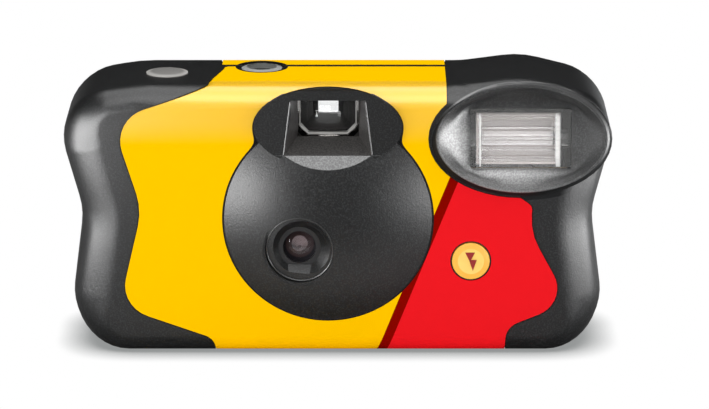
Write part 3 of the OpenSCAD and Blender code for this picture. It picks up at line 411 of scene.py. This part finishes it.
Finish("lamp_plastic", LAMP_ORANGE, roughness=0.25, Transmission_Weight=0.4).dress("ready_lamp")

# Black covers: two moulded halves of polystyrene that snap together on the parting line, and the
# film door in the bottom. The tool's spark finish leaves them satin, with a fine even grain; the
# flash bowl and the lip under the viewfinder are glossier, and painted light makes the inside of the
# viewfinder mouth paler.
BLACK = (0.010, 0.0104, 0.011)
SATIN_LOW, SATIN_HIGH = (0.005, 0.0052, 0.0055), (0.018, 0.019, 0.020)
MOUTH_LIGHT_LOW, MOUTH_LIGHT_HIGH = (0.035, 0.033, 0.032), (0.083, 0.078, 0.075)
DULL_BLACK = (0.009, 0.0094, 0.01)
COVER_ROUGHNESS = 0.37
SPECKLE_ROUGH = 0.12
RING_ROUGH = 0.25
FAR_ROUGH = 0.35
LIP_GLOSS = 0.45
CREST_GLOSS = 0.4
RING_DULL = 0.8
CREASE = 26
FLAT = 0.5
BOWL_PLACE = (40.15 * MM, 48.9 * MM)
BOWL_SIZE = (18.6 * MM, 11.5 * MM)
BOWL_RIM = 1.0
BOWL_CREST = 1.06
BOWL_RING = 1.5
BOWL_FADE = 0.9
BOWL_BACK = -8 * MM
BEZEL_BACK = -13.9 * MM
LIP_Y = -16.2 * MM
LIP_Z = 45.4 * MM
LIP_LEAN = 1.8
LIP_DEPTH = 0.05 * MM
MOUTH_HALF = 9.55 * MM
MOUTH_SILL = 45.35 * MM
MOUTH_TOP = 57.6 * MM
MOUTH_BACK = -9 * MM


def moulded(node, name, body):
    """Copy of a CAD node with its faces joined and its shading mended, that stands for the node.

    Facets of the skinned shell blend into one another, flat faces stay flat, true edges stay crisp,
    and curved faces keep the exact normals they came with.
    """
    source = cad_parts[node].data
    piece = bpy.data.objects.new(name, source.copy())
    exact = {}
    for face in source.polygons:
        bent = {corner: source.corner_normals[corner].vector.copy() for corner in face.loop_indices}
        if not face.use_smooth or min(n.dot(face.normal) for n in bent.values()) > cos(radians(FLAT)):
            piece.data.polygons[face.index].use_smooth = False
            continue
        for corner, normal in bent.items():
            spot = source.vertices[source.loops[corner].vertex_index].co
            exact.setdefault(tuple(round(v, 6) for v in spot), []).append(normal)
    bpy.context.scene.collection.objects.link(piece)
    select(piece)
    bpy.ops.object.mode_set(mode="EDIT")
    bpy.ops.mesh.select_all(action="SELECT")
    bpy.ops.mesh.remove_doubles(threshold=0.002 * MM)
    bpy.ops.object.mode_set(mode="OBJECT")
    curved = [face.use_smooth for face in piece.data.polygons]
    bpy.ops.object.shade_smooth()
    mesh = piece.data
    planes = [(*(round(v, 3) for v in face.normal), round(face.normal.dot(face.center), 5))
              for face in mesh.polygons]
    rings = [set(face.vertices) for face in mesh.polygons]

    def flows(one, other):
        """Whether two faces share an edge, are of one kind and bend less than a crease."""
        return (len(rings[one.index] & rings[other.index]) > 1
                and curved[one.index] == curved[other.index]
                and one.normal.dot(other.normal) > cos(radians(CREASE)))

    area = {}
    around = {}
    for face in mesh.polygons:
        area[planes[face.index]] = area.get(planes[face.index], 0) + face.area
        for vertex in face.vertices if face.area > 1e-12 else ():
            around.setdefault(vertex, []).append(face)
    smooth = {}
    for vertex, faces in around.items():
        groups = []
        for face in faces:
            group = [face]
            apart = []
            for other in groups:
                (group.extend if any(flows(f, face) for f in other) else apart.append)(other)
            groups = [*apart, group]
        for group in groups:
            blend = sum((f.normal * area[planes[f.index]] for f in group), Vector()).normalized()
            smooth.update({(vertex, f.index): blend for f in group})
    normals = []
    for face in mesh.polygons:
        for vertex in face.vertices:
            spot = tuple(round(v, 6) for v in mesh.vertices[vertex].co)
            if curved[face.index] and spot in exact:
                normals.append(max(exact[spot], key=face.normal.dot))
            else:
                normals.append(smooth.get((vertex, face.index), face.normal.copy()))
    mesh.normals_split_custom_set(normals)
    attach(piece, body)
    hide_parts(node)
    return piece


front_cover = moulded("front_cover", "front_cover_moulding", "body")
rear_cover = moulded("rear_cover", "rear_cover_moulding", "body")
film_door = moulded("film_door", "film_door_moulding", "film_door")
black = Finish("black_satin_plastic", BLACK, COVER_ROUGHNESS, Coat_Roughness=0.52, Coat_IOR=2.6)
speckle = black.grain(GRAIN_SIZE, height=0.035 * MM)
x, y, z = black.place()
across = (x - BOWL_PLACE[0]) / BOWL_SIZE[0]
up = (z - BOWL_PLACE[1]) / BOWL_SIZE[1]
oval = across * across + up * up
front = y.below(BOWL_BACK, soft=0.2 * MM)
dish = oval.below(BOWL_RIM, soft=0.03) * front
bowl = dish * (1 - across.above(0.3, soft=0.55) * BOWL_FADE) * (1 - up.above(0.25, soft=0.4) * BOWL_FADE)
far = dish * across.above(0.45, soft=0.3)
crest = oval.above(BOWL_RIM, soft=0.015) * oval.below(BOWL_CREST, soft=0.015) * front
crest = crest * (across * 0.4 + up).above(0.1, soft=0.4)
ring = oval.above(BOWL_RIM, soft=0.03) * oval.below(BOWL_RING, soft=0.03)
ring = ring * y.below(BEZEL_BACK, soft=0.2 * MM)
off_lip = abs(z - LIP_Z + (LIP_Y - y) * LIP_LEAN)
lip = off_lip.below(0.06 * MM, soft=0.03 * MM) * y.below(LIP_Y + LIP_DEPTH, soft=0.03 * MM)
mouth = abs(x - FINDER_X).below(MOUTH_HALF, soft=0.1 * MM) * z.above(MOUTH_SILL, soft=0.05 * MM)
mouth = mouth * y.above(LIP_Y + 0.1 * MM, soft=0.05 * MM) * y.below(MOUTH_BACK, soft=0.2 * MM)
mouth = mouth * z.below(MOUTH_TOP, soft=0.1 * MM)
satin = speckle.above(0.56, soft=0.1).mix(SATIN_LOW, SATIN_HIGH)
# Painted light: the inside of the viewfinder mouth is painted paler, as if lit, with the grain in it.
painted_mouth_light = speckle.above(0.5, soft=0.2).mix(MOUTH_LIGHT_LOW, MOUTH_LIGHT_HIGH)
sparkle = speckle.above(0.5, soft=0.16) * 0.5 + 0.6
even = COVER_ROUGHNESS - SPECKLE_ROUGH / 2
black.set(Base_Color=mouth.mix(satin, painted_mouth_light),
          Roughness=even + speckle * SPECKLE_ROUGH + ring * RING_ROUGH + far * FAR_ROUGH,
          Coat_Weight=(bowl + lip * LIP_GLOSS) * sparkle + crest * CREST_GLOSS)
black.cover(ring * (1 - crest) * RING_DULL, "ShaderNodeBsdfDiffuse", DULL_BLACK)
black.on(front_cover, rear_cover, film_door)

# Beads of the front cover: a thin ring in the ledge round the lens port, and a rounded edge down
# each side of the viewfinder mouth. They are moulded in one with the cover, and polished.
DOME_CENTRE = Vector((-1.96, 34.93, 30.61)) * MM
PORT_WAY = Vector((-0.1155, -0.9870, -0.1112))
PORT_REACH = 53.26 * MM
PORT_RADIUS = 7.28 * MM
PORT_BEAD = 0.17 * MM
MOUTH_FOOT = (9.6 * MM, 45.6 * MM)
MOUTH_HEAD = (8.15 * MM, 57.3 * MM)
MOUTH_BEAD = 0.16 * MM

select()
bpy.ops.mesh.primitive_torus_add(
    major_radius=PORT_RADIUS, minor_radius=PORT_BEAD, major_segments=96, minor_segments=10,
    location=DOME_CENTRE + PORT_WAY * PORT_REACH, rotation=PORT_WAY.to_track_quat("Z", "Y").to_euler())
beads = [bpy.context.object]
for side in (-1, 1):
    foot, head = [Vector((FINDER_X + side * half, LIP_Y + LIP_DEPTH, height))
                  for half, height in (MOUTH_FOOT, MOUTH_HEAD)]
    way = head - foot
    select()
    bpy.ops.mesh.primitive_cylinder_add(
        vertices=12, radius=MOUTH_BEAD, depth=way.length, location=(foot + head) / 2,
        rotation=way.to_track_quat("Z", "Y").to_euler())
    beads.append(bpy.context.object)
trim = joined("cover_beads", beads)
bpy.ops.object.shade_smooth_by_angle(angle=radians(40))
gloss = Finish("polished_black_plastic", BLACK, roughness=0.3,
               Coat_Weight=0.6, Coat_Roughness=0.35, Coat_IOR=1.8)
gloss.on(trim)
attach(trim, "body")

# Shutter button: light grey cap, moulded in acetal and slightly domed; its rim is painted paler, a
# painted highlight. It slides in a hole of the covers and stands on the rocker under it.
BUTTON_PLACE = (-37.4 * MM, 1.0 * MM)
BUTTON_RIM = 3.7 * MM
BUTTON_GREY = (0.20, 0.195, 0.185)
BUTTON_RIM_HIGHLIGHT = (0.42, 0.41, 0.39)

button = Finish("grey_button_plastic", BUTTON_GREY, roughness=0.42)
button.grain(size=0.25 * MM, height=0.006 * MM)
x, y, z = button.place()
# Painted highlight: the rim of the cap is painted paler than its middle.
rim = from_axis(x, y, BUTTON_PLACE).above(BUTTON_RIM, soft=0.5 * MM)
button.set(Base_Color=rim.mix(BUTTON_GREY, BUTTON_RIM_HIGHLIGHT))
button.dress("shutter_button")

# Flash button: glossy yellow cap with a finger dish, moulded with its stem and sprung by the leaf.
# A plain bolt sign is printed on it in dark red.
FLASH_PLACE = (29.3 * MM, 21.08 * MM)
DISH_EDGE = 2.86 * MM
CAP_FACE = -14.1 * MM
CAP_DISH = (1.0, 0.68, 0.15)
CAP_RIM = (1.0, 0.53, 0.06)
BOLT = [(-0.19, 2.0, 1.08, 2.15), (0.44, 0.29, 0.83, 2.5)]
BOLT_RED = (0.30, 0.006, 0.003)
BOLT_DEPTH = 0.36 * MM
BOLT_LIFT = 0.12 * MM
TRIANGLE_HALF = 0.866
TRIANGLE_TALL = 1.5

cap = Finish("yellow_button_plastic", CAP_RIM, roughness=0.35)
x, y, z = cap.place()
rim = from_axis(x, z, FLASH_PLACE).above(DISH_EDGE, soft=0.06 * MM)
cap.set(Base_Color=rim.mix(CAP_DISH, CAP_RIM))
cap.dress("flash_button")
wedges = []
for base_x, base_z, half, tall in BOLT:
    select()
    bpy.ops.mesh.primitive_cylinder_add(
        vertices=3, radius=1, depth=1, rotation=(-pi / 2, 0, 0),
        scale=(half / TRIANGLE_HALF * MM, tall / TRIANGLE_TALL * MM, BOLT_DEPTH),
        location=(FLASH_PLACE[0] + base_x * MM, CAP_FACE - BOLT_LIFT,
                  FLASH_PLACE[1] + (base_z - tall / 3) * MM))
    wedges.append(bpy.context.object)
bolt = joined("bolt_sign", wedges)
Finish("bolt_print", BOLT_RED, roughness=0.45).on(bolt)
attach(bolt, "flash_button")

# Labels: printed plastic film, die cut and stuck into shallow pockets of the covers. The front one
# is yellow, with a red field behind one plain slanting stripe; a dark margin of painted shade lies
# in the gaps round the bulge, the viewfinder nose and the counter window. Only its upper rounding
# is glossy.
YELLOW = (1.0, 0.565, 0.0)
RED = (0.84, 0.011, 0.017)
STRIPE = (0.235, 0.002, 0.0)
GAP_SHADE_BLACK = (0.012, 0.012, 0.012)
PRINT_SOFT = 0.04 * MM
STRIPE_FOOT = 8.6 * MM
STRIPE_LEAN = 0.40
STRIPE_WIDTH = 2.2 * MM
BULGE_PLACE = (-1.96 * MM, 30.61 * MM)
BULGE_RADIUS = 23.15 * MM
NOSE_Z = 51.1 * MM
NOSE_HALF = (16.45 * MM, 9.1 * MM)
NOSE_BACK = -12.4 * MM
NOSE_CLEAR = 9 * MM
NECK = 3.5 * MM
SHEET_EDGE = 7.0 * MM
COUNTER_GAP = 5.8 * MM
COUNTER_FROM = 57 * MM
GLOSS_FROM = 50 * MM
GLOSS_BACK = -7.5 * MM
GLOSS_WEIGHT = 0.85


def printed(node, name):
    """A label and its finish: flat ink under a clear coat."""
    label = moulded(node, name, "body")
    ink = Finish(name, YELLOW, roughness=0.5, Specular_IOR_Level=0.0, Coat_Roughness=0.28, Coat_IOR=1.8)
    ink.on(label)
    return ink


def off_counter(x, y, z):
    """1 on the label but 0 in the painted shade round the counter window, on the top alone."""
    outside = (from_axis(x, y, WINDOW_PLACE) - COUNTER_GAP).above(0, PRINT_SOFT)
    return outside.most(z.below(COUNTER_FROM, soft=0.1 * MM))


front_print = printed("front_label", "front_label_print")
x, y, z = front_print.place()
past_stripe = x - STRIPE_FOOT - z * STRIPE_LEAN
colour = past_stripe.above(0, PRINT_SOFT).mix(YELLOW, STRIPE)
colour = past_stripe.above(STRIPE_WIDTH, PRINT_SOFT).mix(colour, RED)
off_bulge = from_axis(x, z, BULGE_PLACE) - BULGE_RADIUS
wide, tall = (x - BULGE_PLACE[0]) / NOSE_HALF[0], (z - NOSE_Z) / NOSE_HALF[1]
share = (wide * wide + tall * tall).math("SQRT")
wide, tall = wide / NOSE_HALF[0], tall / NOSE_HALF[1]
slope = (wide * wide + tall * tall).math("SQRT")
off_nose = (share - 1) * share / slope + y.above(NOSE_BACK, soft=0.3 * MM) * NOSE_CLEAR
off_both = x.node("ShaderNodeMath", {"operation": "SMOOTH_MIN"}, _0=off_bulge, _1=off_nose, _2=NECK)
# Painted shade: a dark margin in the gaps round the bulge, the nose and the counter window, and along
# the parting line at the label's back edge.
outside_painted_shade = off_both.above(0, PRINT_SOFT) * y.below(SHEET_EDGE, soft=0.03 * MM) * off_counter(x, y, z)
rounding = z.above(GLOSS_FROM, soft=3 * MM) * y.below(GLOSS_BACK, soft=1.5 * MM)
front_print.set(Base_Color=outside_painted_shade.mix(GAP_SHADE_BLACK, colour), Coat_Weight=rounding * GLOSS_WEIGHT)
rear_print = printed("rear_label", "rear_label_print")
# The rear label has the same painted shade round the counter window.
rear_print.set(Base_Color=off_counter(*rear_print.place()).mix(GAP_SHADE_BLACK, YELLOW))

# Floor: matt white paper. The view and the glass see it white, with a soft shadow close round the
# object; in the gloss of the covers it is darker, but for a patch in front.
FLOOR_SIZE = 6
FLOOR_WHITE = (0.9, 0.9, 0.9)
FLOOR_DIM = (0.2, 0.2, 0.2)
FLOOR_RIGHT = (0.5, 0.51, 0.52)
SHADOW_REACH = 9 * MM
SHADOW = [(0.35, (0.30, 0.31, 0.31)), (0.93, (1, 1, 1))]
RIGHT_FROM = 90 * MM
FORE_HALF = (45 * MM, 22 * MM)
FORE_Y = -48 * MM


def rays(start, *kinds):
    """1 for rays of one or two kinds, 0 for the others."""
    found = [start.node("ShaderNodeLightPath", out=f"Is {kind} Ray") for kind in kinds]
    return found[0].most(found[1]) if len(found) > 1 else found[0]


select()
bpy.ops.mesh.primitive_plane_add(size=FLOOR_SIZE, location=(0, 0, 0))
floor = bpy.context.object
floor.name = "studio_floor"
ground = Finish("floor_white", FLOOR_WHITE, roughness=0.9, Specular_IOR_Level=0.0)
x, y, z = ground.place()
mirrored_floor = x.above(RIGHT_FROM, soft=25 * MM).mix(FLOOR_DIM, FLOOR_RIGHT)
fore = abs(x).below(FORE_HALF[0], soft=20 * MM) * abs(y - FORE_Y).below(FORE_HALF[1], soft=8 * MM)
mirrored_floor = fore.mix(mirrored_floor, FLOOR_WHITE)
ground.set(Base_Color=rays(ground.start, "Glossy").mix(FLOOR_WHITE, mirrored_floor))
near = ground.start.node("ShaderNodeAmbientOcclusion", {"samples": 16}, "AO", Distance=SHADOW_REACH)
shadow = near.node("ShaderNodeValToRGB", {"stops": SHADOW}, Fac=near)
ground.cover(rays(ground.start, "Camera", "Transmission"), "ShaderNodeEmission", shadow)
ground.on(floor)

# Studio light: plain white surroundings, three broad soft boxes that light the colours, and cards
# close round the object that show only in the gloss of the covers.
AMBIENT = 0.5
GLOSS_CUT = 0.48
BOX_AIM = (0, 0, 30)
BOX_SIZE = (900, 700)
BOXES = [("front_box", (-250, -1300, 420), BOX_AIM, BOX_SIZE, 4.2),
         ("top_box", (100, 150, 1300), BOX_AIM, BOX_SIZE, 3.2),
         ("back_box", (300, 1300, 350), BOX_AIM, BOX_SIZE, 3.5)]
CARDS = [("left_card", (-104, -58, 38), (-20, -10, 34), (124, 50), 15.0),
         ("right_card", (112, -30, 36), (20, -10, 32), (104, 56), 10.0),
         ("right_wing", (140, -140, 25), (40, -12, 30), (90, 70), 4.6),
         ("top_card", (0, -190, 250), (0, -10, 44), (330, 170), 4.4),
         ("crown_card", (0, 10, 340), (0, -10, 55), (420, 320), 3.0)]

world = bpy.data.worlds.new("studio_light")
bpy.context.scene.world = world
world.use_nodes = True
sky = Wire(world.node_tree, None)
level = AMBIENT + rays(sky, "Camera", "Transmission") * (1 - AMBIENT) - rays(sky, "Glossy") * GLOSS_CUT
backdrop = world.node_tree.nodes["Background"]
plug(world.node_tree, backdrop.inputs["Color"], (1, 1, 1))
plug(world.node_tree, backdrop.inputs["Strength"], level.most(0.0))
for in_gloss, lamps in ((False, BOXES), (True, CARDS)):
    for name, place, aim, size, radiance in lamps:
        light = bpy.data.lights.new(name, "AREA")
        light.shape = "RECTANGLE"
        light.size, light.size_y = size[0] * MM, size[1] * MM
        light.energy = radiance * pi * light.size * light.size_y
        lamp = bpy.data.objects.new(name, light)
        bpy.context.scene.collection.objects.link(lamp)
        lamp.location = Vector(place) * MM
        lamp.rotation_euler = (Vector(aim) - Vector(place)).to_track_quat("-Z", "Y").to_euler()
        lamp.visible_glossy = in_gloss
        lamp.visible_diffuse = not in_gloss

# View: a long lens that looks slightly down on the front, far enough to keep the sides parallel.
AIM = Vector((3.82, -14.1, 33.9)) * MM
RISE = radians(15)
REACH = 0.9
FRAME_WIDTH = 154.7 * MM
SENSOR = 36

lens = bpy.data.cameras.new("view_lens")
lens.sensor_width = SENSOR
lens.lens = SENSOR * REACH / FRAME_WIDTH
camera = bpy.data.objects.new("view_camera", lens)
bpy.context.scene.collection.objects.link(camera)
camera.location = AIM + REACH * Vector((0, -cos(RISE), sin(RISE)))
camera.rotation_euler = (AIM - camera.location).to_track_quat("-Z", "Y").to_euler()
bpy.context.scene.camera = camera
bpy.context.scene.view_settings.view_transform = "Standard"
